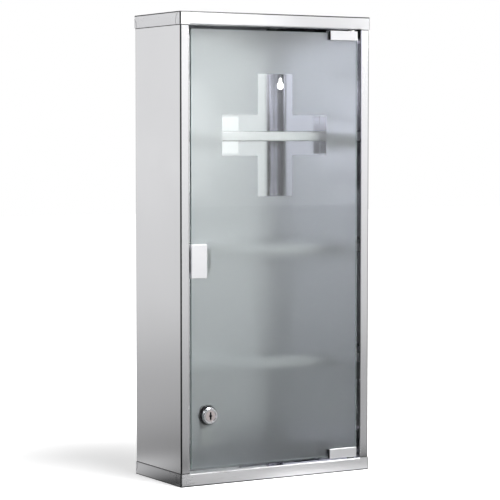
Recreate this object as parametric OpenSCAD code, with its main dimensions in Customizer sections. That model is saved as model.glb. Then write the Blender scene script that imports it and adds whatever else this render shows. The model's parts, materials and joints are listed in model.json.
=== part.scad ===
// Lockable wall cabinet for medicines: a folded stainless steel box with three fixed shelves and an
// inset frosted glass door on two pivots. Millimetres, +Z up, the door faces -Y. The origin is the
// centre of the bottom face.

/* [Cabinet] */
// Overall width, across the end caps
cabinet_w = 285; // [240:5:400]
// Overall depth, from the front of the caps to the wall
cabinet_d = 125; // [110:5:200]
// Overall height
cabinet_h = 600; // [520:10:800]
// Thickness of the steel sheet
sheet_t = 0.8; // [0.5:0.1:1.2]
// Inside radius of the folds
bend_r = 0.8; // [0.4:0.1:1.6]

/* [End caps] */
// Height of the flange round each cap
cap_h = 16.5; // [14:0.5:22]
// Depth of the lip that carries a door pivot, from the front of the cap
lip_depth = 14; // [12.5:0.5:18]
// Height of the stiffening leg behind the lip
lip_leg = 6; // [4:0.5:10]
// Gap between the lip's ends and the frame
lip_gap = 0.3; // [0.2:0.1:1]
// Width of the open seams at the cap's corners
seam_w = 0.7; // [0.3:0.1:0.8]
// How far a front corner tab reaches round onto the side
front_tab_w = 12; // [8:0.5:16]
// How far a rear corner tab reaches round onto the side
rear_tab_w = 6; // [5:0.5:12]

/* [Frame] */
// Width of the strip that frames the door on each side
return_w = 12.7; // [10:0.1:20]
// Depth of the leg behind the strip
return_depth = 9.5; // [6:0.5:9.5]
// Width of the flange that carries the back panel
rear_flange_w = 14; // [8:0.5:24]
// Gap between the panels' ends and the caps' plates
panel_end_gap = 3.6; // [1.2:0.1:6]

/* [Wall slots] */
// Distance between the two keyhole slots
keyhole_spacing = 156; // [80:1:200]
// Distance from the cabinet's top to the slots' round ends
keyhole_drop = 88; // [40:1:120]
// Diameter of a slot's round end, which passes over a screw head
keyhole_d = 10.5; // [8:0.5:14]
// Width of the narrow end, which holds the screw's shank
keyhole_slot_w = 5; // [4:0.1:6]
// Height of a whole slot
keyhole_h = 16; // [14.5:0.5:24]

/* [Shelves] */
// Depth of a shelf, from the back panel to its front edge
shelf_depth = 67.6; // [40:0.1:75]
// Height of a shelf's front edge
shelf_edge_h = 13; // [8:0.5:20]
// Depth of the hem under the front edge
shelf_hem = 6; // [3:0.5:12]
// Height of the flanges at the shelf's ends and back
shelf_flange_h = 9; // [6:0.5:16]
// Gap at the corners between neighbouring flanges
shelf_relief = 1.5; // [1.2:0.1:3]

/* [Door glass] */
// Thickness of the glass
glass_t = 4; // [3:0.5:5]
// Distance of the glass behind the cabinet's front
glass_recess = 4; // [3.9:0.1:5]
// Gap between the glass and the frame at each side
glass_side_gap = 4.3; // [3:0.1:6]
// Gap between the glass and the lips at top and bottom
glass_end_gap = 5; // [4.8:0.1:8]
// Corner radius of the glass
glass_corner_r = 1.5; // [0.5:0.5:6]
// Thickness of the frosted layer on the back of the glass
film_t = 0.2; // [0.1:0.05:0.3]
// Width and height of the clear cross in the frosting
cross_size = 157; // [80:1:200]
// Width of the cross's arms
cross_arm = 52.3; // [20:0.1:70]
// Distance from the cabinet's top to the cross's middle
cross_drop = 155; // [120:1:220]

/* [Hinge clips] */
// Length of a hinge clip along the glass
clip_w = 42; // [36:1:60]
// Height of a hinge clip
clip_h = 12.5; // [11:0.5:20]
// Thickness of a clip's front and rear plates
clip_plate_t = 2.9; // [2:0.1:3.3]
// Thickness of the web that joins the plates
clip_web_t = 2.4; // [1.5:0.1:2.5]
// Distance from the clip's end to the edge of the glass
clip_offset = 1.2; // [0:0.1:4]
// Distance from the pivots' axis to the edge of the glass
pivot_inset = 7.7; // [6.5:0.1:10]
// Thickness of the soft liners in front of the glass and at its edges
liner_t = 0.3; // [0.2:0.05:0.4]
// Thickness of the liner behind the glass, on which the clamp screws press
pad_t = 1; // [0.5:0.1:1.5]
// How far the liner's lip stands out past the clip's inner end
liner_lip = 0.8; // [0.5:0.1:1.5]
// Diameter of the clamp screws
clamp_screw_d = 4; // [3:0.5:5]
// Distance from a clamp screw to the end of its clip
clamp_screw_inset = 11.5; // [8:0.5:16]
// Diameter of the pivot pins
pin_d = 4; // [3:0.5:4.5]
// Radial running clearance of the pins and of the lock's plug
running_gap = 0.05; // [0.02:0.01:0.1]
// Diameter of the pivot bushes
bush_d = 6.4; // [5.8:0.1:8]
// Diameter of a bush's flange
bush_flange_d = 9; // [8:0.5:10]
// Thickness of a bush's flange
bush_flange_t = 1; // [0.6:0.1:1.2]
// Length of the bush inside the cap
bush_depth = 3; // [2:0.5:5]
// Play between a pin's collar and its bush
pivot_play = 0.1; // [0.05:0.05:0.3]

/* [Strike plate] */
// Width of the strike plate, which is also the pull
strike_w = 23; // [16:1:34]
// Height of the strike plate
strike_h = 43; // [30:1:70]
// Height of the strike plate's middle above the base
strike_z = 285.5; // [240:0.5:360]
// Thickness of its front and rear plates
strike_plate_t = 2; // [1.2:0.1:2.4]
// Thickness of its web, round the edge of the glass
strike_web_t = 1; // [0.6:0.1:1.5]
// Corner radius of its plates
strike_corner_r = 1.8; // [1:0.1:3]

/* [Magnetic catch] */
// Width of the catch's case
catch_w = 34; // [30:1:50]
// Height of the catch's case
catch_h = 30; // [24:1:40]
// Depth of the catch's case
catch_d = 13; // [11:0.5:20]
// Gap between the catch's pole plates and the strike plate
catch_gap = 0.3; // [0.1:0.1:1]
// How far the pole plates stand out of the case
pole_proud = 0.6; // [0.2:0.1:1.5]
// Thickness of a pole plate
pole_t = 1.2; // [0.8:0.1:2]
// Width of the magnet
magnet_w = 20; // [12:1:20]
// Height of the magnet
magnet_h = 8; // [5:0.5:12]
// Thickness of the catch's bracket
bracket_t = 1; // [0.8:0.1:1.5]
// Depth of the bracket's leg on the side panel
bracket_leg = 20; // [12:1:30]
// Diameter of the catch's screws
catch_screw_d = 3; // [2.5:0.5:4]

/* [Lock] */
// Distance from the lock's axis to the opening edge of the glass
lock_inset = 24.7; // [22:0.1:40]
// Height of the lock's axis above the base
lock_z = 88.5; // [70:0.5:120]
// Diameter of the lock's barrel
barrel_d = 18; // [16:0.5:20]
// Diameter of the hole in the glass
lock_hole_d = 19; // [18.5:0.5:21]
// Diameter of the bezel in front of the glass
bezel_d = 22; // [21:0.5:26]
// Diameter of the bezel's front edge
bezel_front_d = 19.6; // [18:0.1:20.5]
// How far the lock stands out of the glass
lock_proud = 5.5; // [4.5:0.1:8]
// Diameter of the black ring under the bezel
gasket_d = 23.6; // [23:0.1:28]
// Thickness of the black ring
gasket_t = 1.8; // [1:0.1:2.5]
// Diameter of the plug that the key turns
plug_d = 14; // [12:0.5:14]
// Width across the flats of the lock's nut
nut_af = 24; // [23:0.5:26]
// Thickness of the lock's nut
nut_t = 4; // [3:0.1:4]
// Thickness of the washer between nut and glass
lock_washer_t = 0.8; // [0.5:0.1:1]
// Length of the keyway in the plug's face
keyway_l = 10; // [6:0.5:10]
// Width of the keyway's slot
keyway_w = 2.2; // [1.5:0.1:3]
// Thickness of the cam
cam_t = 2; // [1.5:0.1:2.5]
// Width of the cam
cam_w = 16; // [14:0.5:18]
// Reach of the cam from the lock's axis
cam_reach = 39; // [34:0.5:39]
// Radius at which the cam's crank starts
crank_start = 14.5; // [14.5:0.5:18]
// Radius at which the cam's crank ends
crank_end = 23.5; // [22:0.5:26]
// How far the crank brings the cam's tip towards the glass
crank_offset = 3.2; // [2:0.1:3.2]
// Side of the square tang that turns the cam
tang_w = 7; // [5:0.5:8]

/* [Hidden] */
$fn = 64;

// Colours
steel = [0.78, 0.78, 0.79];
chrome = [0.88, 0.89, 0.91];
glass_green = [0.62, 0.72, 0.70, 0.5];
frost_white = [0.80, 0.84, 0.85];
black = [0.08, 0.08, 0.08];
nylon = [0.90, 0.90, 0.87];
ferrite = [0.22, 0.21, 0.21];
zinc = [0.70, 0.70, 0.68];

// How many straight steps make a fold
bend_steps = 5;
// How far a cut runs past what it cuts
cut = 1;

// The box and the panels in it
half_w = cabinet_w / 2;
front_y = -cabinet_d / 2;
back_y = cabinet_d / 2;
panel_x = half_w - sheet_t;
inner_x = panel_x - sheet_t;
strip_y = front_y + sheet_t;
rear_flange_y = back_y - sheet_t;
back_panel_y = rear_flange_y - sheet_t;
inner_back_y = back_panel_y - sheet_t;
opening_x = panel_x - return_w;
panel_z0 = sheet_t + panel_end_gap;
panel_z1 = cabinet_h - panel_z0;

// Places of the seams on a cap's side, as [distance from the corner, height above the cap's plate]
front_seam = [[front_tab_w, cap_h + cut], [front_tab_w, cap_h / 2], [front_tab_w * 0.55, sheet_t + bend_r]];
rear_seam = [[rear_tab_w, cap_h + cut], [rear_tab_w, cap_h * 0.62], [bend_r, cap_h * 0.25]];
seam_curve_r = 2.5;

// The door
glass_x = opening_x - glass_side_gap;
glass_front_y = front_y + glass_recess;
glass_back_y = glass_front_y + glass_t;
film_back_y = glass_back_y + film_t;
glass_z0 = cap_h + glass_end_gap;
glass_z1 = cabinet_h - glass_z0;
pivot_x = glass_x - pivot_inset;
pivot_y = glass_front_y + glass_t / 2;
cross_z = cabinet_h - cross_drop;

// The hinge clips: the lower one is drawn, and the upper one is its mirror image
clip_x1 = glass_x - clip_offset;
clip_x0 = clip_x1 - clip_w;
clip_z0 = glass_z0 - liner_t - clip_web_t;
clip_slot_y0 = glass_front_y - liner_t;
clip_slot_y1 = film_back_y + pad_t;
clip_edge_r = 0.6;
clamp_screw_z = glass_z0 + (clip_z0 + clip_h - glass_z0) / 2;
collar_t = clip_z0 - cap_h - bush_flange_t - pivot_play;
collar_d = bush_flange_d - 1;

// The strike plate
strike_x0 = -glass_x - liner_t - strike_web_t;
strike_x1 = strike_x0 + strike_w;
strike_slot_y0 = glass_front_y - liner_t;
strike_slot_y1 = film_back_y + liner_t;
strike_back_y = strike_slot_y1 + strike_plate_t;
strike_screw_x = (strike_x1 - glass_x) / 2;
strike_screw_rise = strike_h / 4;

// The catch
pole_front_y = strike_back_y + catch_gap;
catch_front_y = pole_front_y + pole_proud;
catch_back_y = catch_front_y + catch_d;
catch_x0 = strike_x0 - 0.6;
catch_wall = 1.8;
magnet_x0 = catch_x0 + catch_wall;
magnet_d = catch_d - 4;
catch_screw_x = catch_x0 + catch_w - 6;
catch_screw_rise = catch_h / 2 - 6;
catch_head_d = catch_screw_d * 1.9;
catch_head_t = catch_screw_d * 0.6;

// The lock
lock_x = lock_inset - glass_x;
bezel_front_y = glass_front_y - lock_proud;
gasket_front_y = glass_front_y - gasket_t;
washer_back_y = film_back_y + lock_washer_t;
cam_tip_y = strip_y + return_depth + 0.6;
cam_hub_y = cam_tip_y + crank_offset;
barrel_back_y = cam_hub_y - 0.2;
plug_recess = 0.3;
keyway_depth = 7;
plug_groove = 0.8;
cam_screw_d = 4;
cam_head_d = 9;
cam_head_t = 2.4;

// ---- Folded sheet ----

function unit(v) = v / norm(v);

function left_of(v) = [-v.y, v.x];

function turned(v, a) = [v.x * cos(a) - v.y * sin(a), v.x * sin(a) + v.y * cos(a)];

// The points round the fold at b on a path a, b, c, at a distance to the left of the sheet's middle
function fold_points(a, b, c, middle_r, shift) =
    let (
        u = unit(b - a),
        side = sign(cross(b - a, c - b)),
        angle = acos(u * unit(c - b)),
        start = b - u * middle_r * tan(angle / 2),
        centre = start + left_of(u) * side * middle_r,
        radius = middle_r - side * shift
    )
    [for (i = [0:bend_steps]) centre + turned(-left_of(u) * side * radius, side * angle * i / bend_steps)];

// One face of a sheet that follows a path
function sheet_face(path, middle_r, shift) =
    let (last = len(path) - 1)
    [
        path[0] + left_of(unit(path[1] - path[0])) * shift,
        for (i = [1:last - 1]) each fold_points(path[i - 1], path[i], path[i + 1], middle_r, shift),
        path[last] + left_of(unit(path[last] - path[last - 1])) * shift
    ];

// Section of a sheet folded along a path through its middle, with an inside radius at each fold
module folded(path, t = sheet_t, inside_r = bend_r) {
    middle_r = inside_r + t / 2;
    far = sheet_face(path, middle_r, -t / 2);
    polygon([each sheet_face(path, middle_r, t / 2), for (i = [len(far) - 1:-1:0]) far[i]]);
}

// ---- Helpers ----

// A section in [y, z], extruded from x0 to x1
module along_x(x0, x1) {
    translate([x0, 0, 0]) rotate([90, 0, 90]) linear_extrude(x1 - x0) children();
}

// A section in [x, z], extruded from y0 to y1
module along_y(y0, y1) {
    translate([0, y1, 0]) rotate([90, 0, 0]) linear_extrude(y1 - y0) children();
}

// A section in [x, y], extruded from z0 to z1
module along_z(z0, z1) {
    translate([0, 0, z0]) linear_extrude(z1 - z0) children();
}

// Turns a shape drawn round Z so that its +Z points to the back, along +Y
module facing_y(x, z) {
    translate([x, 0, z]) rotate([-90, 0, 0]) children();
}

// A cylinder along Y, from y0 to y1
module rod_y(x, z, y0, y1, d) {
    facing_y(x, z) translate([0, 0, y0]) cylinder(d = d, h = y1 - y0);
}

// The mirror image of a lower piece, at the top of the cabinet
module at_top() {
    translate([0, 0, cabinet_h]) mirror([0, 0, 1]) children();
}

// Rectangle from one corner to the other, with round corners
module round_rect(low, high, r) {
    size = high - low;
    translate(low + [r, 0]) square([size.x - 2 * r, size.y]);
    translate(low + [0, r]) square([size.x, size.y - 2 * r]);
    for (x = [low.x + r, high.x - r])
        for (y = [low.y + r, high.y - r])
            translate([x, y]) circle(r);
}

// Box from one corner to the other with round edges
module soft_box(low, high, r) {
    intersection() {
        along_x(low.x, high.x) round_rect([low.y, low.z], [high.y, high.z], r);
        along_y(low.y, high.y) round_rect([low.x, low.z], [high.x, high.z], r);
        along_z(low.z, high.z) round_rect([low.x, low.y], [high.x, high.y], r);
    }
}

// Plain box from one corner to the other
module block(low, high) {
    translate(low) cube(high - low);
}

// Pan-head screw along Y, with its head to the front at y = 0 and a cross recess
module pan_screw(d, length, head_d, head_t) {
    recess = head_d * 0.55;
    difference() {
        union() {
            translate([0, 0, -head_t]) cylinder(d1 = head_d * 0.8, d2 = head_d, h = head_t / 2);
            translate([0, 0, -head_t / 2]) cylinder(d = head_d, h = head_t / 2);
            cylinder(d = d, h = length);
        }
        for (a = [0, 90])
            rotate([0, 0, a]) translate([-recess / 2, -d / 8, -head_t - cut]) cube([recess, d / 4, head_t / 2 + cut]);
    }
}

// ---- Cabinet ----

// One folded side: frame strip with its leg, side sheet and rear flange, as a path seen from above
module side_panel() {
    middle = sheet_t / 2;
    color(steel)
        along_z(panel_z0, panel_z1)
            folded([
                [-opening_x - middle, strip_y + return_depth],
                [-opening_x - middle, strip_y + middle],
                [-panel_x + middle, strip_y + middle],
                [-panel_x + middle, rear_flange_y - middle],
                [-panel_x + rear_flange_w, rear_flange_y - middle]
            ]);
}

module left_side_panel() {
    side_panel();
}

module right_side_panel() {
    mirror([1, 0, 0]) side_panel();
}

// Keyhole slot in [x, z], with its round end at the origin
module keyhole() {
    narrow_r = keyhole_slot_w / 2;
    narrow_rise = keyhole_h - keyhole_d / 2 - narrow_r;
    circle(d = keyhole_d);
    translate([-narrow_r, 0]) square([keyhole_slot_w, narrow_rise]);
    translate([0, narrow_rise]) circle(narrow_r);
}

module back_panel() {
    edge_x = inner_x - bend_r;
    color(steel)
        difference() {
            block([-edge_x, inner_back_y, panel_z0], [edge_x, back_panel_y, panel_z1]);
            for (x = [-keyhole_spacing / 2, keyhole_spacing / 2])
                along_y(inner_back_y - cut, back_panel_y + cut)
                    translate([x, cabinet_h - keyhole_drop]) keyhole();
        }
}

// Open seams on both sides of a cap: a curved slot at each corner
module cap_seams() {
    front_path = [for (p = front_seam) [front_y + p.x, p.y]];
    rear_path = [for (p = rear_seam) [back_y - p.x, p.y]];
    for (side = [-1, 1])
        for (path = [front_path, rear_path])
            along_x(side * half_w - sheet_t - cut / 2, side * half_w + sheet_t + cut / 2)
                folded(path, seam_w, seam_curve_r);
}

// Bottom cap: a tray of folded sheet with an inward lip over the door opening
module cap() {
    lip_x = opening_x - lip_gap;
    lip_y = front_y + lip_depth - sheet_t / 2;
    lip_z = cap_h - sheet_t / 2;
    tall = 3 * cap_h;
    wall = [sheet_t, sheet_t, sheet_t];
    low = [-half_w, front_y, 0];
    high = [half_w, back_y, tall];
    difference() {
        union() {
            difference() {
                soft_box(low, high, bend_r + sheet_t);
                soft_box(low + wall, high + [-sheet_t, -sheet_t, sheet_t], bend_r);
                block([-half_w - cut, front_y - cut, cap_h], [half_w + cut, back_y + cut, tall + cut]);
                block([-lip_x, front_y - cut, cap_h / 2], [lip_x, strip_y, cap_h + cut]);
            }
            along_x(-lip_x, lip_x)
                folded([
                    [front_y + sheet_t / 2, cap_h / 2],
                    [front_y + sheet_t / 2, lip_z],
                    [lip_y, lip_z],
                    [lip_y, cap_h - lip_leg]
                ]);
        }
        cap_seams();
        translate([pivot_x, pivot_y, cap_h - bush_depth]) cylinder(d = bush_d, h = bush_depth + cut);
    }
}

module bottom_cap() {
    color(steel) cap();
}

module top_cap() {
    color(steel) at_top() cap();
}

// Shelf with its upper face at a height: front edge with a hem, rear flange and two end flanges
module shelf(top_z) {
    front = inner_back_y - shelf_depth;
    middle = sheet_t / 2;
    end_y0 = front + sheet_t + shelf_relief;
    end_y1 = inner_back_y - sheet_t - shelf_relief;
    end_x = inner_x - sheet_t - bend_r - shelf_relief;
    color(steel) {
        along_x(-end_x, end_x)
            folded([
                [front + shelf_hem, top_z - shelf_edge_h + middle],
                [front + middle, top_z - shelf_edge_h + middle],
                [front + middle, top_z - middle],
                [inner_back_y - middle, top_z - middle],
                [inner_back_y - middle, top_z - shelf_flange_h]
            ]);
        for (side = [0, 1])
            mirror([side, 0, 0])
                along_y(end_y0, end_y1)
                    folded([
                        [end_x - cut, top_z - middle],
                        [inner_x - middle, top_z - middle],
                        [inner_x - middle, top_z - shelf_flange_h]
                    ]);
    }
}

// The shelves share the height evenly
module upper_shelf() {
    shelf(cabinet_h * 3 / 4);
}

module middle_shelf() {
    shelf(cabinet_h / 2);
}

module lower_shelf() {
    shelf(cabinet_h / 4);
}

// Flanged bush in the lower lip
module pivot_bush() {
    color(black)
        translate([pivot_x, pivot_y, 0])
            difference() {
                union() {
                    translate([0, 0, cap_h - bush_depth]) cylinder(d = bush_d, h = bush_depth);
                    translate([0, 0, cap_h]) cylinder(d = bush_flange_d, h = bush_flange_t);
                }
                translate([0, 0, cap_h - bush_depth - cut])
                    cylinder(r = pin_d / 2 + running_gap, h = bush_depth + bush_flange_t + 2 * cut);
            }
}

module lower_pivot_bush() {
    pivot_bush();
}

module upper_pivot_bush() {
    at_top() pivot_bush();
}

// ---- Magnetic catch ----

// Angle bracket welded to the left side, seen from above as a path
module catch_bracket() {
    middle = bracket_t / 2;
    color(steel)
        difference() {
            along_z(strike_z - catch_h / 2, strike_z + catch_h / 2)
                folded([
                    [-inner_x + middle, catch_back_y + bracket_leg],
                    [-inner_x + middle, catch_back_y + middle],
                    [catch_x0 + catch_w, catch_back_y + middle]
                ], bracket_t);
            for (rise = [-catch_screw_rise, catch_screw_rise])
                rod_y(catch_screw_x, strike_z + rise, catch_back_y - cut, catch_back_y + bracket_t + cut, catch_screw_d);
        }
}

// Plastic case with an open pocket for the magnet and its pole plates
module catch_case() {
    pocket_rise = magnet_h / 2 + pole_t;
    color(nylon)
        difference() {
            soft_box(
                [catch_x0, catch_front_y, strike_z - catch_h / 2],
                [catch_x0 + catch_w, catch_back_y, strike_z + catch_h / 2],
                1
            );
            block(
                [magnet_x0, catch_front_y - cut, strike_z - pocket_rise],
                [magnet_x0 + magnet_w, catch_front_y + magnet_d, strike_z + pocket_rise]
            );
            for (rise = [-catch_screw_rise, catch_screw_rise]) {
                rod_y(catch_screw_x, strike_z + rise, catch_front_y - cut, catch_back_y + cut, catch_screw_d);
                rod_y(catch_screw_x, strike_z + rise, catch_front_y - cut, catch_front_y + catch_head_t, catch_head_d + 0.4);
            }
        }
}

module catch_magnet() {
    color(ferrite)
        block(
            [magnet_x0, catch_front_y, strike_z - magnet_h / 2],
            [magnet_x0 + magnet_w, catch_front_y + magnet_d, strike_z + magnet_h / 2]
        );
}

// Two steel plates above and below the magnet
module catch_pole_plates() {
    color(zinc)
        for (low = [strike_z - magnet_h / 2 - pole_t, strike_z + magnet_h / 2])
            block(
                [magnet_x0, pole_front_y, low],
                [magnet_x0 + magnet_w, catch_front_y + magnet_d, low + pole_t]
            );
}

module catch_screws() {
    color(zinc)
        for (rise = [-catch_screw_rise, catch_screw_rise])
            facing_y(catch_screw_x, strike_z + rise)
                translate([0, 0, catch_front_y + catch_head_t])
                    pan_screw(catch_screw_d, catch_d - catch_head_t + bracket_t + 1, catch_head_d, catch_head_t);
}

// ---- Door ----

module glass_outline(border) {
    round_rect([border - glass_x, glass_z0 + border], [glass_x - border, glass_z1 - border], glass_corner_r);
}

module door_glass() {
    color(glass_green)
        difference() {
            along_y(glass_front_y, glass_back_y) glass_outline(0);
            rod_y(lock_x, lock_z, glass_front_y - cut, glass_back_y + cut, lock_hole_d);
        }
}

// Clear cross in [x, z]
module cross_window() {
    half = cross_size / 2;
    half_arm = cross_arm / 2;
    translate([0, cross_z]) {
        translate([-half, -half_arm]) square([cross_size, cross_arm]);
        translate([-half_arm, -half]) square([cross_arm, cross_size]);
    }
}

module frosted_layer() {
    color(frost_white)
        difference() {
            along_y(glass_back_y, film_back_y) glass_outline(0);
            along_y(glass_back_y - cut, film_back_y + cut) cross_window();
            rod_y(lock_x, lock_z, glass_back_y - cut, film_back_y + cut, lock_hole_d);
        }
}

// Block with a slot for the edge of the glass
module hinge_clip() {
    color(chrome)
        difference() {
            soft_box(
                [clip_x0, clip_slot_y0 - clip_plate_t, clip_z0],
                [clip_x1, clip_slot_y1 + clip_plate_t, clip_z0 + clip_h],
                clip_edge_r
            );
            block(
                [clip_x0 - cut, clip_slot_y0, clip_z0 + clip_web_t],
                [clip_x1 + cut, clip_slot_y1, clip_z0 + clip_h + cut]
            );
            for (x = [clip_x0 + clamp_screw_inset, clip_x1 - clamp_screw_inset])
                rod_y(x, clamp_screw_z, clip_slot_y1 - cut, clip_slot_y1 + clip_plate_t + cut, clamp_screw_d);
            translate([pivot_x, pivot_y, clip_z0 - cut]) cylinder(d = pin_d, h = clip_web_t + 2 * cut);
        }
}

module lower_hinge_clip() {
    hinge_clip();
}

module upper_hinge_clip() {
    at_top() hinge_clip();
}

// Soft channel between a clip and the glass, with a lip that covers the clip's inner end
module clip_liner() {
    lip_x = clip_x0 - liner_lip;
    high_z = clip_z0 + clip_h - clip_edge_r;
    color(black) {
        difference() {
            block([lip_x, clip_slot_y0, clip_z0 + clip_web_t], [clip_x1 - clip_edge_r, clip_slot_y1, high_z]);
            block([lip_x - cut, glass_front_y, glass_z0], [clip_x1 + cut, film_back_y, high_z + cut]);
        }
        block(
            [lip_x, clip_slot_y0 - clip_plate_t + clip_edge_r, clip_z0 + clip_edge_r],
            [clip_x0, glass_front_y, high_z]
        );
    }
}

module lower_clip_liner() {
    clip_liner();
}

module upper_clip_liner() {
    at_top() clip_liner();
}

// Pin pressed into the clip's web, with a collar that rides on the bush
module pivot_pin() {
    color(zinc)
        translate([pivot_x, pivot_y, 0]) {
            translate([0, 0, cap_h - bush_depth - cut])
                cylinder(d = pin_d, h = clip_z0 + clip_web_t - cap_h + bush_depth + cut);
            translate([0, 0, clip_z0 - collar_t]) cylinder(d = collar_d, h = collar_t);
        }
}

module lower_pivot_pin() {
    pivot_pin();
}

module upper_pivot_pin() {
    at_top() pivot_pin();
}

// Headless screw along Y with a six-sided socket at its rear end
module grub_screw(x, z, y0, y1, d) {
    socket_d = d * 0.55;
    difference() {
        rod_y(x, z, y0, y1, d);
        facing_y(x, z) translate([0, 0, (y0 + y1) / 2]) cylinder(d = socket_d, h = y1 - y0, $fn = 6);
    }
}

module lower_clamp_screws() {
    for (x = [clip_x0 + clamp_screw_inset, clip_x1 - clamp_screw_inset])
        grub_screw(x, clamp_screw_z, clip_slot_y1, clip_slot_y1 + clip_plate_t - 0.3, clamp_screw_d);
}

module hinge_clamp_screws() {
    color(zinc) {
        lower_clamp_screws();
        at_top() lower_clamp_screws();
    }
}

// Strike plate and pull: a block slotted for the opening edge of the glass
module strike_plate() {
    color(chrome)
        difference() {
            intersection() {
                soft_box(
                    [strike_x0, strike_slot_y0 - strike_plate_t, strike_z - strike_h / 2],
                    [strike_x1, strike_back_y, strike_z + strike_h / 2],
                    clip_edge_r
                );
                along_y(strike_slot_y0 - strike_plate_t, strike_back_y)
                    round_rect(
                        [strike_x0 - 2 * strike_corner_r, strike_z - strike_h / 2],
                        [strike_x1, strike_z + strike_h / 2],
                        strike_corner_r
                    );
            }
            block(
                [strike_x0 + strike_web_t, strike_slot_y0, strike_z - strike_h / 2 - cut],
                [strike_x1 + cut, strike_slot_y1, strike_z + strike_h / 2 + cut]
            );
            for (rise = [-strike_screw_rise, strike_screw_rise])
                rod_y(strike_screw_x, strike_z + rise, strike_slot_y1 - cut, strike_back_y + cut, clamp_screw_d);
        }
}

module strike_liner() {
    low_z = strike_z - strike_h / 2 + clip_edge_r;
    high_z = strike_z + strike_h / 2 - clip_edge_r;
    color(black)
        difference() {
            block([strike_x0 + strike_web_t, strike_slot_y0, low_z], [strike_x1 - clip_edge_r, strike_slot_y1, high_z]);
            block([-glass_x, glass_front_y, low_z - cut], [strike_x1 + cut, film_back_y, high_z + cut]);
        }
}

module strike_clamp_screws() {
    color(zinc)
        for (rise = [-strike_screw_rise, strike_screw_rise])
            grub_screw(strike_screw_x, strike_z + rise, strike_slot_y1, strike_back_y - 0.3, clamp_screw_d);
}

// ---- Lock ----

// Bezel and threaded barrel, turned about the lock's axis
module lock_barrel() {
    bore_r = plug_d / 2 + running_gap;
    color(chrome)
        facing_y(lock_x, lock_z)
            rotate_extrude()
                polygon([
                    [bore_r, bezel_front_y + plug_groove],
                    [bore_r + plug_groove, bezel_front_y + plug_groove],
                    [bore_r + plug_groove, bezel_front_y],
                    [bezel_front_d / 2 - 0.3, bezel_front_y],
                    [bezel_front_d / 2, bezel_front_y + 0.3],
                    [bezel_d / 2, gasket_front_y - 0.8],
                    [bezel_d / 2, gasket_front_y],
                    [barrel_d / 2, gasket_front_y],
                    [barrel_d / 2, barrel_back_y - 0.5],
                    [barrel_d / 2 - 0.5, barrel_back_y],
                    [bore_r, barrel_back_y]
                ]);
}

module lock_gasket() {
    color(black)
        facing_y(lock_x, lock_z)
            rotate_extrude()
                polygon([
                    [barrel_d / 2, gasket_front_y],
                    [gasket_d / 2 - 0.5, gasket_front_y],
                    [gasket_d / 2, gasket_front_y + 0.5],
                    [gasket_d / 2, glass_front_y],
                    [barrel_d / 2, glass_front_y]
                ]);
}

module lock_washer() {
    color(nylon)
        difference() {
            rod_y(lock_x, lock_z, film_back_y, washer_back_y, nut_af + 2);
            rod_y(lock_x, lock_z, film_back_y - cut, washer_back_y + cut, barrel_d);
        }
}

module lock_nut() {
    color(zinc)
        difference() {
            facing_y(lock_x, lock_z)
                translate([0, 0, washer_back_y]) cylinder(d = nut_af / cos(30), h = nut_t, $fn = 6);
            rod_y(lock_x, lock_z, washer_back_y - cut, washer_back_y + nut_t + cut, barrel_d);
        }
}

// Keyway in [x, z]: a slot with a wide diamond in its middle and a round foot
module keyway() {
    diamond = keyway_w * 1.75;
    square([keyway_w, keyway_l], center = true);
    rotate(45) square(diamond, center = true);
    translate([0, keyway_w * 0.6 - keyway_l / 2]) circle(keyway_w * 0.65);
}

// Plug with the keyway in front and a square tang for the cam behind
module lock_plug() {
    face_y = bezel_front_y + plug_recess;
    color(chrome)
        difference() {
            union() {
                rod_y(lock_x, lock_z, face_y, cam_hub_y, plug_d);
                block(
                    [lock_x - tang_w / 2, cam_hub_y, lock_z - tang_w / 2],
                    [lock_x + tang_w / 2, cam_hub_y + cam_t, lock_z + tang_w / 2]
                );
            }
            along_y(face_y - cut, face_y + keyway_depth) translate([lock_x, lock_z]) keyway();
            rod_y(lock_x, lock_z, cam_hub_y - 5, cam_hub_y + cam_t + cut, cam_screw_d);
        }
}

// Cranked cam that hangs down, and turns behind the frame's left leg to lock
module lock_cam() {
    hub_mid = cam_hub_y + cam_t / 2;
    tip_mid = cam_tip_y + cam_t / 2;
    half = cam_w / 2;
    color(zinc)
        difference() {
            intersection() {
                along_x(lock_x - half, lock_x + half)
                    folded([
                        [hub_mid, lock_z + half],
                        [hub_mid, lock_z - crank_start],
                        [tip_mid, lock_z - crank_end],
                        [tip_mid, lock_z - cam_reach]
                    ], cam_t, cam_t);
                along_y(cam_tip_y - cut, cam_hub_y + cam_t + cut)
                    translate([lock_x, lock_z]) {
                        circle(half);
                        translate([-half, -cam_w]) square([cam_w, cam_w]);
                        round_rect([-half, -cam_reach], [half, 0], cam_t);
                    }
            }
            block(
                [lock_x - tang_w / 2, cam_hub_y - cut, lock_z - tang_w / 2],
                [lock_x + tang_w / 2, cam_hub_y + cam_t + cut, lock_z + tang_w / 2]
            );
        }
}

module cam_screw() {
    color(zinc)
        facing_y(lock_x, lock_z)
            translate([0, 0, cam_hub_y + cam_t])
                mirror([0, 0, 1]) pan_screw(cam_screw_d, cam_t + 4, cam_head_d, cam_head_t);
}

left_side_panel();
right_side_panel();
back_panel();
top_cap();
bottom_cap();
upper_shelf();
middle_shelf();
lower_shelf();
upper_pivot_bush();
lower_pivot_bush();
catch_bracket();
catch_case();
catch_magnet();
catch_pole_plates();
catch_screws();
door_glass();
frosted_layer();
upper_hinge_clip();
lower_hinge_clip();
upper_clip_liner();
lower_clip_liner();
upper_pivot_pin();
lower_pivot_pin();
hinge_clamp_screws();
strike_plate();
strike_liner();
strike_clamp_screws();
lock_barrel();
lock_gasket();
lock_washer();
lock_nut();
lock_plug();
lock_cam();
cam_screw();
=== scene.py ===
import json
import math

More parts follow.
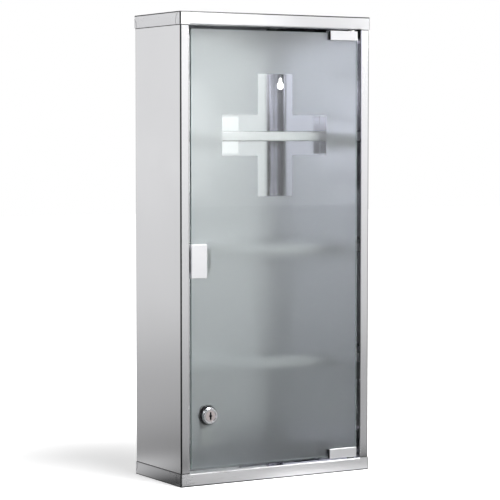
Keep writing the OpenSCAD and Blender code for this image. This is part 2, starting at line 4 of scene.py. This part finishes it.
import bpy
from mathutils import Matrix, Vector

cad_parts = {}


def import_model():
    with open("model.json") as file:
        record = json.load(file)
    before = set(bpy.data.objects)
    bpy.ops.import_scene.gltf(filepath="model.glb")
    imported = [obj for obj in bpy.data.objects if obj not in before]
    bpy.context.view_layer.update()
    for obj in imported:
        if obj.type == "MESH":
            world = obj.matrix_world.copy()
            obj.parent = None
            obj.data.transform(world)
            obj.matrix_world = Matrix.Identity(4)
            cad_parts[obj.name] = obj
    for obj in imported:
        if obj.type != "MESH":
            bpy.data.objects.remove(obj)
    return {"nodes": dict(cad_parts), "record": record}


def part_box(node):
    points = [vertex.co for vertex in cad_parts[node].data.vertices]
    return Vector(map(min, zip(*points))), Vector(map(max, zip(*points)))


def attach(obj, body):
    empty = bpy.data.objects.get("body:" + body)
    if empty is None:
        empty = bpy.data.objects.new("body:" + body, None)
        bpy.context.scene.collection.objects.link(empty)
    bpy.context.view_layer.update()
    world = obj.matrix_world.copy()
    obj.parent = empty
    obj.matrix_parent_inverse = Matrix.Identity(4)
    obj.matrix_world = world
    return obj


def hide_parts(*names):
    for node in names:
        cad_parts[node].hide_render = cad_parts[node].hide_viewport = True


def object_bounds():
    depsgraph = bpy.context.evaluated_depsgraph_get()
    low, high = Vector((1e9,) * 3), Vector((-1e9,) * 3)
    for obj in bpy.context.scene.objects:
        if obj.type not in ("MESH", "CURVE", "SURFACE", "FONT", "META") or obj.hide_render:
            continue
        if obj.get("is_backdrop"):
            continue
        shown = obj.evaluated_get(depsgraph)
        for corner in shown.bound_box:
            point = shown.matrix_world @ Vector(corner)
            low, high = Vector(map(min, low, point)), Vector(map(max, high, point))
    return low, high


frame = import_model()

# The looks of a lockable wall cabinet: folded stainless steel, a frosted glass door with a clear cross,
# chrome clips and a cam lock. Metres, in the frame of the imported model: the cabinet hangs with its lowest
# edge at Z 0, its door to -Y and its hinges at +X.

CAD_LOW, CAD_HIGH = (tuple(corner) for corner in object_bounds())
NODES = frame["nodes"]
MM = 0.001
HALF_HEIGHT = (CAD_LOW[2] + CAD_HIGH[2]) / 2
MIDDLE = (0, 0, HALF_HEIGHT)

# ---- Camera ----

# Where the camera stands, and where it looks: degrees to the right of +Y, and degrees up
CAMERA_PLACE = (-1.34855, -2.28102, 0.44237)
CAMERA_YAW = 30.508
CAMERA_PITCH = -3.205
# Focal length, and width of the sensor, in millimetres
CAMERA_LENS = 145.06
CAMERA_SENSOR = 36

# ---- Colours ----

WHITE = (1, 1, 1)
COLD = (0.98, 0.96, 1.12)
STEEL = (0.72, 0.72, 0.735)
STEEL_INSIDE = (0.86, 0.86, 0.87)
SHELF = (0.95, 0.95, 0.955)
CHROME = (0.82, 0.82, 0.84)
ZINC = (0.82, 0.82, 0.80)
NICKEL = (0.66, 0.60, 0.59)
PANE = (0.98, 0.99, 0.99)
# The ground edges of the glass, where they are darkest and lightest, and the green of its depth
GROUND = ((0.44, 0.51, 0.50), (0.54, 0.61, 0.60))
GLASS_GREEN = (0.45, 0.88, 0.74)
ETCHED = (0.965, 0.98, 0.985)
MILK = (0.80, 0.81, 0.85)
RUBBER = (0.018, 0.018, 0.02)
BLACK_PLASTIC = (0.02, 0.02, 0.021)
WHITE_PLASTIC = (0.80, 0.80, 0.77)
FERRITE = (0.09, 0.085, 0.085)
FLOOR_GREY = (0.80, 0.80, 0.80)

# ---- Finishes ----

# Roughness of the bright rolled face that the sheet keeps inside the cabinet, and how much lighter it is
# than the brushed outside
BRIGHT = 0.06
INSIDE_GAIN = 1.17
# How much of its colour a metal keeps where it is painted in shade, such as in a keyway or on a fold
SHADE_PAINT_KEEP = 0.08
# Scale, detail and roughness of each noise
GRAIN = (900, 3, 0.6)
METAL_CLOUD = (9, 3, 0.55)
GROUND_CLOUD = (300, 3, 0.5)
ETCHED_CLOUD = (14, 3, 0.55)
ETCHED_SPECKLE = (2600, 2, 0.6)
SOFT_CLOUD = (60, 2, 0.5)
# Detail and roughness of the skin of soft stuff, which has a scale of its own on each
SOFT_SKIN = (4, 0.6)
# The grain's scale along itself, as a share of its scale across
ALONG_GRAIN = 0.02
# The ranges that most of a soft noise and of the grain keep to
MOST = (0.3, 0.7)
MOST_GRAIN = (0.2, 0.8)
# How dark and how light the noises make a colour, the grain's share and the clouds' share of that on
# metal, and how far they change a roughness
METAL_TONES = (0.94, 1.05)
SOFT_TONES = (0.92, 1.06)
GRAIN_SHARE, CLOUD_SHARE = 0.6, 0.4
METAL_POLISH = (0.88, 1.12)
SOFT_POLISH = (0.9, 1.1)
# How high the bumps of each fine skin are, and how strong the frosting's are
METAL_BUMP = 0.2 * MM
SOFT_BUMP = 0.1 * MM
ETCHED_BUMP = 0.02 * MM
ETCHED_DEPTH = 0.05
# Added to the way across the grain, so that there is one where the grain runs straight into a face
NUDGE = (0, 0.001, 0)
# Clear glass: its index, how fast it turns green, and the roughness and clearness of its ground edges
GLASS_INDEX = 1.5
GLASS_DENSITY = 9.0
GROUND_ROUGHNESS = 0.4
GROUND_CLEARNESS = 0.7
# The frosting: its index, the roughness that blurs what is behind it, how much of its light it scatters
# like milk, and how far its front lies behind the glass
ETCHED_INDEX = 1.45
ETCHED_BLUR = (0.295, 0.315)
HAZE = 0.12
HAIR = 0.05 * MM
# How far in from the edges of the glass their ground finish reaches, and the bevel on them
GROUND_EDGE = 0.25 * MM
ARRIS = 0.2 * MM
# The angle in degrees from which an edge is bevelled
SHARP = 50

# ---- Places on the parts that have a finish of their own, or painted shade ----

# How far a fold's painted shade reaches from the corner, and the share of it that is at full strength
FOLD_SHADE_BAND = 1.8 * MM
FOLD_SHADE_CORE = 0.7
# How far beyond the edges of the caps the panels are painted in shade, a painted shadow line under the caps
CAP_SHADE = 1.0 * MM
# Where the leg behind the frame on the hinge side is painted in shade, for the black gap there, and how
# much
LEG_X = (0.1280, 0.1302)
LEG_Y = (-0.0607, -0.0525)
LEG_SHADE = 0.87
# The inner faces of the side panels lie nearer the middle than this in X, and behind this in Y
PANEL_INSIDE_X = 0.1413
PANEL_INSIDE_Y = -0.0608
# The inner faces of the caps lie within this in X and in Y, and this far in from their outer faces
CAP_INSIDE_X = 0.1405
CAP_INSIDE_Y = (-0.0600, 0.0610)
CAP_INSIDE_Z = 0.5 * MM
# The depths of the plug between which it shows only inside its keyway, where it is painted in shade
KEYWAY_Y = (-0.0634, -0.0562)


# ---- Node helpers ----

def put(tree, kind, inputs=None, **settings):
    """A new node, with its settings and with inputs that are numbers, colours or sockets."""
    node = tree.nodes.new(kind)
    for name, value in settings.items():
        setattr(node, name, value)
    for name, value in (inputs or {}).items():
        if isinstance(value, bpy.types.NodeSocket):
            tree.links.new(value, node.inputs[name])
        else:
            node.inputs[name].default_value = value
    return node


def math_node(tree, operation, *values):
    return put(tree, "ShaderNodeMath", dict(enumerate(values)), operation=operation).outputs[0]


def vector_node(tree, operation, *values):
    """The vector that a vector operation gives."""
    return put(tree, "ShaderNodeVectorMath", dict(enumerate(values)), operation=operation).outputs["Vector"]


def measure_node(tree, operation, *values):
    """The number that a vector operation gives."""
    return put(tree, "ShaderNodeVectorMath", dict(enumerate(values)), operation=operation).outputs["Value"]


def scaled(tree, vector, share):
    node = put(tree, "ShaderNodeVectorMath", {0: vector, "Scale": share}, operation="SCALE")
    return node.outputs["Vector"]


def split(tree, vector):
    return put(tree, "ShaderNodeSeparateXYZ", {0: vector}).outputs


def product(tree, *values):
    total = values[0]
    for value in values[1:]:
        total = math_node(tree, "MULTIPLY", total, value)
    return total


def total_of(tree, *values):
    total = values[0]
    for value in values[1:]:
        total = math_node(tree, "ADD", total, value)
    return total


def largest(tree, *values):
    most = values[0]
    for value in values[1:]:
        most = math_node(tree, "MAXIMUM", most, value)
    return most


def between(tree, value, low, high):
    """1 where value is more than low and less than high."""
    above = math_node(tree, "GREATER_THAN", value, low)
    return product(tree, above, math_node(tree, "LESS_THAN", value, high))


def span(tree, value, old, new, smooth=False):
    """value mapped from the range old to the range new, and held there."""
    kind = "SMOOTHSTEP" if smooth else "LINEAR"
    sockets = {"Value": value, "From Min": old[0], "From Max": old[1], "To Min": new[0], "To Max": new[1]}
    return put(tree, "ShaderNodeMapRange", sockets, interpolation_type=kind).outputs["Result"]


def place_of(tree, scale=(1, 1, 1)):
    """The place on the object in metres, stretched by scale."""
    at = put(tree, "ShaderNodeTexCoord").outputs["Object"]
    return put(tree, "ShaderNodeMapping", {"Vector": at, "Scale": scale}).outputs["Vector"]


def normal_of(tree):
    return put(tree, "ShaderNodeNewGeometry").outputs["Normal"]


def noise(tree, scale, detail, rough, stretch=(1, 1, 1)):
    sockets = {"Vector": place_of(tree, stretch), "Scale": scale, "Detail": detail, "Roughness": rough}
    return put(tree, "ShaderNodeTexNoise", sockets).outputs["Fac"]


def opaque(colour):
    return (*colour, 1)


def shaded(numbers, share):
    return tuple(number * share for number in numbers)


def two_colours(tree, factor, first, second):
    """A mix of two colours, each of them three numbers or a socket."""
    ends = [end if isinstance(end, bpy.types.NodeSocket) else opaque(end) for end in (first, second)]
    # Inputs 6 and 7 are the two colours, and output 2 is their mix
    return put(tree, "ShaderNodeMix", {0: factor, 6: ends[0], 7: ends[1]}, data_type="RGBA").outputs[2]


def new_material(name):
    material = bpy.data.materials.new(name)
    material.use_nodes = True
    tree = material.node_tree
    return material, tree, tree.nodes["Principled BSDF"]


def fine_skin(tree, shader, height, strength, distance):
    """Bumps on the face of a shader, at most so high."""
    bump = put(tree, "ShaderNodeBump", {"Strength": strength, "Distance": distance, "Height": height})
    tree.links.new(bump.outputs["Normal"], shader.inputs["Normal"])


def to_surface(tree, socket):
    tree.links.new(socket, tree.nodes["Material Output"].inputs["Surface"])


# ---- Where a finish or painted shade lies: 1 there, and 0 elsewhere ----

def from_middle(tree):
    """How far a place is from the cabinet's middle, along each axis."""
    return split(tree, vector_node(tree, "ABSOLUTE", vector_node(tree, "SUBTRACT", place_of(tree), MIDDLE)))


def outward(tree):
    """1 on faces that look away from the cabinet's middle."""
    at = vector_node(tree, "SUBTRACT", place_of(tree), MIDDLE)
    return math_node(tree, "GREATER_THAN", measure_node(tree, "DOT_PRODUCT", at, normal_of(tree)), 0.0)


def fold_painted_shade(tree, reach):
    """1 outside, on the folds of a box that reaches so far from the cabinet's middle, where the metal is
    painted in shade.
    """
    off = from_middle(tree)
    depth = [math_node(tree, "SUBTRACT", reach[i], off[i]) for i in range(3)]
    pairs = [math_node(tree, "MAXIMUM", depth[i], depth[i - 1]) for i in range(3)]
    nearest = math_node(tree, "MINIMUM", pairs[0], math_node(tree, "MINIMUM", pairs[1], pairs[2]))
    return product(tree, span(tree, nearest, (FOLD_SHADE_BAND * FOLD_SHADE_CORE, FOLD_SHADE_BAND), (1, 0)), outward(tree))


# Where the caps are painted in shade: on their folds
def cap_painted_shade(tree):
    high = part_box("top_cap")[1]
    return fold_painted_shade(tree, (high[0], high[1], high[2] - HALF_HEIGHT))


def panel_painted_shade(tree):
    """Painted shade: 1 on the folds and where the caps cover the panels and a little beyond, and less on
    the leg on the hinge side.
    """
    at = split(tree, place_of(tree))
    # Painted shade on the hinge-side leg, for the black gap beside the door
    leg = product(tree, between(tree, at["X"], *LEG_X), between(tree, at["Y"], *LEG_Y), LEG_SHADE)
    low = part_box("left_side_panel")[0]
    folded = fold_painted_shade(tree, (-low[0], -low[1], HALF_HEIGHT))
    cap_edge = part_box("top_cap")[0][2] - HALF_HEIGHT - CAP_SHADE
    # Painted shadow: under the caps, and a little beyond their edges
    cap_shadow_line = math_node(tree, "GREATER_THAN", from_middle(tree)["Z"], cap_edge)
    return largest(tree, leg, folded, cap_shadow_line)


def inside_panels(tree):
    """1 on the faces of the side panels that look into the cabinet."""
    at = split(tree, place_of(tree))
    inward = math_node(tree, "LESS_THAN", math_node(tree, "ABSOLUTE", at["X"]), PANEL_INSIDE_X)
    return product(tree, inward, math_node(tree, "GREATER_THAN", at["Y"], PANEL_INSIDE_Y))


def inside_caps(tree):
    """1 on the faces of the caps that look into the cabinet."""
    off = from_middle(tree)
    below = math_node(tree, "LESS_THAN", off["Z"], HALF_HEIGHT - CAP_INSIDE_Z)
    within = math_node(tree, "LESS_THAN", off["X"], CAP_INSIDE_X)
    return product(tree, below, within, between(tree, split(tree, place_of(tree))["Y"], *CAP_INSIDE_Y))


def keyway_shade(tree):
    """1 behind the face of the lock's plug, where only the keyway shows and the metal is painted in shade.
    """
    return between(tree, split(tree, place_of(tree))["Y"], *KEYWAY_Y)


def glass_edges(tree):
    """1 on the ground edges of the glass, and on the narrow arris round them."""
    off = from_middle(tree)
    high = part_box("door_glass")[1]
    side = math_node(tree, "GREATER_THAN", off["X"], high[0] - GROUND_EDGE)
    end = math_node(tree, "GREATER_THAN", off["Z"], high[2] - HALF_HEIGHT - GROUND_EDGE)
    return largest(tree, side, end)


# ---- Materials ----

def across_grain(tree, grain):
    """The way across the grain on each face, and +Y where the grain runs straight into the face."""
    along = tuple(float(axis == grain) for axis in "XYZ")
    across = vector_node(tree, "CROSS_PRODUCT", normal_of(tree), along)
    return vector_node(tree, "ADD", across, NUDGE)


def metal(name, colour, roughness, grain=None, depth=0.02, smudge=0.03, anisotropy=0.0,
          bright_side=None, shade_paint=None):
    """Bare or plated metal: fine grain drawn out along the axis grain, faint clouds and uneven polish.

    bright_side(tree) says where the sheet keeps its bright rolled face, 1 there and 0 elsewhere, and
    the last argument, also called with the tree, says where its colour is darkened as painted shade, such
    as on its folds.
    """
    material, tree, shader = new_material(name)
    stretch = [ALONG_GRAIN if axis == grain else 1 for axis in "XYZ"]
    fine = noise(tree, *GRAIN, stretch)
    cloud = noise(tree, *METAL_CLOUD)
    tone = total_of(tree, product(tree, fine, GRAIN_SHARE), product(tree, cloud, CLOUD_SHARE))
    base = two_colours(tree, tone, *(shaded(colour, share) for share in METAL_TONES))
    polish = total_of(tree, span(tree, cloud, MOST, (-smudge, smudge)),
                      span(tree, fine, MOST_GRAIN, shaded(METAL_POLISH, roughness)))
    # Painted shade: the colour is darkened where the last argument says
    if shade_paint:
        base = scaled(tree, base, span(tree, shade_paint(tree), (0, 1), (1, SHADE_PAINT_KEEP)))
    if bright_side:
        bright = bright_side(tree)
        base = scaled(tree, base, span(tree, bright, (0, 1), (1, INSIDE_GAIN)))
        polish = product(tree, polish, span(tree, bright, (0, 1), (1, BRIGHT / roughness)))
    tree.links.new(base, shader.inputs["Base Color"])
    tree.links.new(polish, shader.inputs["Roughness"])
    fine_skin(tree, shader, fine, depth, METAL_BUMP)
    shader.inputs["Metallic"].default_value = 1.0
    if anisotropy:
        shader.inputs["Anisotropic"].default_value = anisotropy
        tree.links.new(across_grain(tree, grain), shader.inputs["Tangent"])
    return material


def clear_glass(name):
    """Float glass, green through its ground edges."""
    material, tree, shader = new_material(name)
    edge = glass_edges(tree)
    ground = two_colours(tree, noise(tree, *GROUND_CLOUD), *GROUND)
    tree.links.new(two_colours(tree, edge, PANE, ground), shader.inputs["Base Color"])
    tree.links.new(span(tree, edge, (0, 1), (0.0, GROUND_ROUGHNESS)), shader.inputs["Roughness"])
    tree.links.new(span(tree, edge, (0, 1), (1.0, GROUND_CLEARNESS)), shader.inputs["Transmission Weight"])
    shader.inputs["IOR"].default_value = GLASS_INDEX
    green = {"Color": opaque(GLASS_GREEN), "Density": GLASS_DENSITY}
    absorb = put(tree, "ShaderNodeVolumeAbsorption", green)
    tree.links.new(absorb.outputs["Volume"], tree.nodes["Material Output"].inputs["Volume"])
    return material


def frosting(name):
    """Etched face of the glass: it blurs what is behind it, and scatters some light like milk."""
    material, tree, shader = new_material(name)
    shader.inputs["Transmission Weight"].default_value = 1.0
    shader.inputs["IOR"].default_value = ETCHED_INDEX
    shader.inputs["Base Color"].default_value = opaque(ETCHED)
    blur = span(tree, noise(tree, *ETCHED_CLOUD), MOST, ETCHED_BLUR)
    tree.links.new(blur, shader.inputs["Roughness"])
    fine_skin(tree, shader, noise(tree, *ETCHED_SPECKLE), ETCHED_DEPTH, ETCHED_BUMP)
    milk = put(tree, "ShaderNodeBsdfDiffuse", {"Color": opaque(MILK)}).outputs["BSDF"]
    glow = put(tree, "ShaderNodeBsdfTranslucent", {"Color": opaque(MILK)}).outputs["BSDF"]
    haze = put(tree, "ShaderNodeMixShader", {0: 0.5, 1: milk, 2: glow}).outputs["Shader"]
    mixed = put(tree, "ShaderNodeMixShader", {0: HAZE, 1: shader.outputs["BSDF"], 2: haze})
    to_surface(tree, mixed.outputs["Shader"])
    return material


def soft_stuff(name, colour, roughness, grit, depth, gloss=0.5):
    """Rubber, moulded plastic or ferrite: an even colour, with a fine skin of the scale grit."""
    material, tree, shader = new_material(name)
    skin = noise(tree, grit, *SOFT_SKIN)
    base = two_colours(tree, noise(tree, *SOFT_CLOUD), *(shaded(colour, share) for share in SOFT_TONES))
    tree.links.new(base, shader.inputs["Base Color"])
    polish = span(tree, skin, MOST, shaded(SOFT_POLISH, roughness))
    tree.links.new(polish, shader.inputs["Roughness"])
    shader.inputs["Specular IOR Level"].default_value = gloss
    fine_skin(tree, shader, skin, depth, SOFT_BUMP)
    return material


# By slot: the name, the colour, the roughness and, for a metal with a grain, its axis
MATERIALS = {
    # The panels and caps are painted in shade on their folds, under the caps' edges and on the hinge-side
    # leg
    "stainless_panel": metal("stainless_panel", STEEL, 0.22, "Z", anisotropy=0.6,
                             bright_side=inside_panels, shade_paint=panel_painted_shade),
    "stainless_cap": metal("stainless_cap", STEEL, 0.30, "X", anisotropy=0.85,
                           bright_side=inside_caps, shade_paint=cap_painted_shade),
    "stainless_shelf": metal("stainless_shelf", SHELF, 0.33, "X", smudge=0.02, anisotropy=0.8),
    "chrome": metal("chrome", CHROME, 0.30, "X", depth=0.03, anisotropy=0.85),
    "zinc_plated": metal("zinc_plated", ZINC, 0.42),
    "clear_glass": clear_glass("clear_glass"),
    "frosted_glass": frosting("frosting"),
    "black_rubber": soft_stuff("black_rubber", RUBBER, 0.85, grit=1500, depth=0.2, gloss=0.25),
    "black_plastic": soft_stuff("black_plastic", BLACK_PLASTIC, 0.6, grit=1200, depth=0.1, gloss=0.3),
    "white_plastic": soft_stuff("white_plastic", WHITE_PLASTIC, 0.45, grit=1200, depth=0.1),
    "magnet": soft_stuff("magnet", FERRITE, 0.6, grit=2500, depth=0.3),
}
# Parts that differ from the rest of their slot
SPECIAL = {
    "lock_barrel": metal("polished_chrome", CHROME, 0.20, depth=0.01),
    # The plug is painted in shade inside its keyway
    "lock_plug": metal("nickel", NICKEL, 0.34, depth=0.04, shade_paint=keyway_shade),
    "back_panel": metal("bright_back", STEEL_INSIDE, BRIGHT, "Z", depth=0.01, smudge=0.01),
}

for part in frame["record"]["subparts"]:
    slots = NODES[part["node"]].data.materials
    slots.clear()
    slots.append(SPECIAL.get(part["node"], MATERIALS[part["material_slot"]]))


# ---- The door's frosting, and the fine edges of its glass ----

def frosted_sheet():
    """The frosted layer, with its front a hair behind the glass, so that no two faces lie in one plane."""
    sheet = bpy.data.objects.new("frosting", NODES["frosted_layer"].data.copy())
    bpy.context.scene.collection.objects.link(sheet)
    front, back = (corner[1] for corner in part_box("frosted_layer"))
    for vertex in sheet.data.vertices:
        if vertex.co.y < (front + back) / 2:
            vertex.co.y = front + HAIR
    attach(sheet, "door")
    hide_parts("frosted_layer")


def worn_edge(node, width):
    """A bevel on a carried-over node, which catches the light along its edges."""
    bevel = NODES[node].modifiers.new("edges", "BEVEL")
    bevel.width = width
    bevel.segments = 1
    bevel.limit_method = "ANGLE"
    bevel.angle_limit = math.radians(SHARP)


frosted_sheet()
worn_edge("door_glass", ARRIS)


# ---- Studio ----

# Half the length of a side of the floor, and of the card over it, and the heights of both
FLOOR_HALF, CARD_HALF = 8, 9
FLOOR_HEIGHT, CARD_HEIGHT = -0.2 * MM, 0.5 * MM
# The floor's own light, at the two distances from the origin between which it changes
FLOOR_GLOW = (0.45, 1.0)
FLOOR_GLOW_AT = (0.3, 1.2)
# Distances from the object in metres, at which each ring of the floor is at its full strength
RINGS = (0.012, 0.05, 0.2, 0.8, 3.2)
# Elevations in degrees between which each band of the world fades in and out
BANDS = ((None, (0, 1.5)), ((0, 1.5), (5, 12)), ((5, 12), (30, 45)), ((30, 45), None))
FLOOR_LIGHT = [
    # azimuth, width, colour, strength in each ring
    (-30.5, 70, WHITE, (1.58, 0, 0.54, 0.52, 0.89)),
    (30.5, 60, WHITE, (0.5, 0.6, 0.1, 0.15, 0.3)),
    (150, 80, WHITE, (0.96, 0.99, 0.4, 0.545, 0.89)),
    (-125, 55, WHITE, (0.4, 0.5, 0.5, 0.7, 0.9)),
]
WORLD_LIGHT = [
    # azimuth, width, colour, strength in each band
    (-30.5, 55, WHITE, (1.23, 1.48, 0.15, 0.6)),
    (30.5, 50, COLD, (0.06, 2.35, 0, 0)),
    (95, 45, WHITE, (0, 0.05, 0.05, 0)),
    (150, 50, WHITE, (1.06, 1.0, 0.23, 0)),
    (-135, 45, WHITE, (0.9, 0.9, 0.6, 0.3)),
    (-90, 55, WHITE, (0, 0, 0.77, 0)),
    (-149.5, 10, WHITE, (2.6, 2.6, 0, 0)),
]
LAMPS = [
    # name, place, size, power in watts, and the point that it is aimed at
    ("side_box", (-2.6, 0.9, 1.5), 1.4, 34, (0, 0, 0.3)),
    ("top_box", (0.3, -0.9, 1.9), 1.0, 55, (0, 0, 0.3)),
    ("right_card", (0.75, -0.45, 0.8), 0.4, 5.5, (0.1, -0.05, 0.4)),
    ("high_front", (0.45, -1.6, 1.4), 0.8, 9, (0, 0, 0.4)),
]


def card(name, half, height, material):
    """A flat level square that isn't part of the object, with sides twice as long as half."""
    mesh = bpy.data.meshes.new(name)
    corners = [(-half, -half, height), (half, -half, height), (half, half, height), (-half, half, height)]
    mesh.from_pydata(corners, [], [(0, 1, 2, 3)])
    mesh.materials.append(material)
    made = bpy.data.objects.new(name, mesh)
    bpy.context.scene.collection.objects.link(made)
    made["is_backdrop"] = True
    return made


def floor():
    """Pale floor: its own light makes it white for the camera, but for the object's shadow."""
    material, tree, shader = new_material("floor")
    shader.inputs["Base Color"].default_value = opaque(FLOOR_GREY)
    shader.inputs["Roughness"].default_value = 0.9
    shader.inputs["Specular IOR Level"].default_value = 0.0
    shader.inputs["Emission Color"].default_value = opaque(WHITE)
    rays = put(tree, "ShaderNodeLightPath").outputs
    seen = largest(tree, rays["Is Glossy Ray"], rays["Is Transmission Ray"], rays["Is Camera Ray"])
    away = measure_node(tree, "LENGTH", place_of(tree))
    own = span(tree, away, FLOOR_GLOW_AT, FLOOR_GLOW)
    tree.links.new(product(tree, seen, own), shader.inputs["Emission Strength"])
    card("floor", FLOOR_HALF, FLOOR_HEIGHT, material)


def lobe(tree, towards, azimuth, width):
    """1 towards an azimuth in degrees, from -Y round to -X, and down to 0 at width degrees off it."""
    level = vector_node(tree, "NORMALIZE", vector_node(tree, "MULTIPLY", towards, (1, 1, 0)))
    turn = math.radians(azimuth)
    dot = measure_node(tree, "DOT_PRODUCT", level, (-math.sin(turn), -math.cos(turn), 0))
    return span(tree, math_node(tree, "ARCCOSINE", dot), (0, math.radians(width)), (1, 0), smooth=True)


def band(tree, value, low, high):
    """1 between low[1] and high[0], and down to 0 at low[0] and high[1]; an end of None has no limit."""
    up = span(tree, value, low, (0, 1), smooth=True) if low else None
    down = span(tree, value, high, (1, 0), smooth=True) if high else None
    if up and down:
        return product(tree, up, down)
    return up or down


def beside_object(tree, at):
    """How far a place on the floor is from the object's box, seen from above, and at least a millimetre."""
    off = vector_node(tree, "SUBTRACT", vector_node(tree, "ABSOLUTE", at), CAD_HIGH)
    sides = split(tree, off)
    return largest(tree, sides["X"], sides["Y"], MM)


def lit_from(tree, towards, value, bands, table):
    """The light of a table: each row's colour round its azimuth, at its strength in each band of value."""
    total = None
    for azimuth, width, colour, strengths in table:
        side = lobe(tree, towards, azimuth, width)
        parts = [product(tree, side, band(tree, value, *ends), strength)
                 for ends, strength in zip(bands, strengths) if strength]
        share = scaled(tree, colour, total_of(tree, *parts))
        total = vector_node(tree, "ADD", total, share) if total else share
    return total


def floor_tone(tree):
    """The light of the card: by distance from the object, and by the side of it."""
    at = place_of(tree)
    decade = math_node(tree, "LOGARITHM", beside_object(tree, at), 10.0)
    edges = [math.log10(radius) for radius in RINGS]
    fades = [None, *zip(edges, edges[1:]), None]
    return lit_from(tree, at, decade, list(zip(fades, fades[1:])), FLOOR_LIGHT)


def world_tone(tree):
    """The light of the studio round the object: by direction, and by height above the horizon."""
    towards = put(tree, "ShaderNodeTexCoord").outputs["Generated"]
    elevation = product(tree, math_node(tree, "ARCSINE", split(tree, towards)["Z"]), math.degrees(1))
    return lit_from(tree, towards, elevation, BANDS, WORLD_LIGHT)


def reflected_card():
    """A card on the floor that only metal and glass show, in the tones of a studio's floor."""
    material, tree, _ = new_material("grey_card")
    light = put(tree, "ShaderNodeEmission", {"Color": floor_tone(tree), "Strength": 1.0})
    to_surface(tree, light.outputs["Emission"])
    made = card("grey_card", CARD_HALF, CARD_HEIGHT, material)
    for kind in ("camera", "diffuse", "shadow", "volume_scatter"):
        setattr(made, "visible_" + kind, False)


def world():
    """White for the camera, and the tones of a studio for metal and glass."""
    made = bpy.data.worlds.new("studio")
    bpy.context.scene.world = made
    made.use_nodes = True
    tree = made.node_tree
    rays = put(tree, "ShaderNodeLightPath").outputs
    around = put(tree, "ShaderNodeBackground", {"Color": world_tone(tree), "Strength": 1.0}).outputs[0]
    white = put(tree, "ShaderNodeBackground", {"Color": opaque(WHITE), "Strength": 1.0}).outputs[0]
    mix = put(tree, "ShaderNodeMixShader", {0: rays["Is Camera Ray"], 1: around, 2: white})
    tree.links.new(mix.outputs[0], tree.nodes["World Output"].inputs["Surface"])


def add_aimed(name, data, place, direction):
    """A lamp or camera at a place, which looks in a direction."""
    made = bpy.data.objects.new(name, data)
    made.location = place
    made.rotation_mode = "QUATERNION"
    made.rotation_quaternion = direction.to_track_quat("-Z", "Y")
    bpy.context.scene.collection.objects.link(made)
    return made


def lamp(name, place, size, power, aim):
    data = bpy.data.lights.new(name, "AREA")
    data.shape = "SQUARE"
    data.size = size
    data.energy = power
    add_aimed(name, data, place, Vector(aim) - Vector(place))


def camera():
    data = bpy.data.cameras.new("camera")
    data.lens = CAMERA_LENS
    data.sensor_width = CAMERA_SENSOR
    data.clip_start = 0.1
    data.clip_end = 100
    yaw, pitch = math.radians(CAMERA_YAW), math.radians(CAMERA_PITCH)
    ahead = Vector((math.sin(yaw) * math.cos(pitch), math.cos(yaw) * math.cos(pitch), math.sin(pitch)))
    bpy.context.scene.camera = add_aimed("camera", data, CAMERA_PLACE, ahead)


floor()
reflected_card()
world()
for row in LAMPS:
    lamp(*row)
camera()

scene = bpy.context.scene
scene.view_settings.view_transform = "Standard"
scene.cycles.max_bounces = 24
scene.cycles.glossy_bounces = 12
scene.cycles.transmission_bounces = 24
scene.cycles.transparent_max_bounces = 16
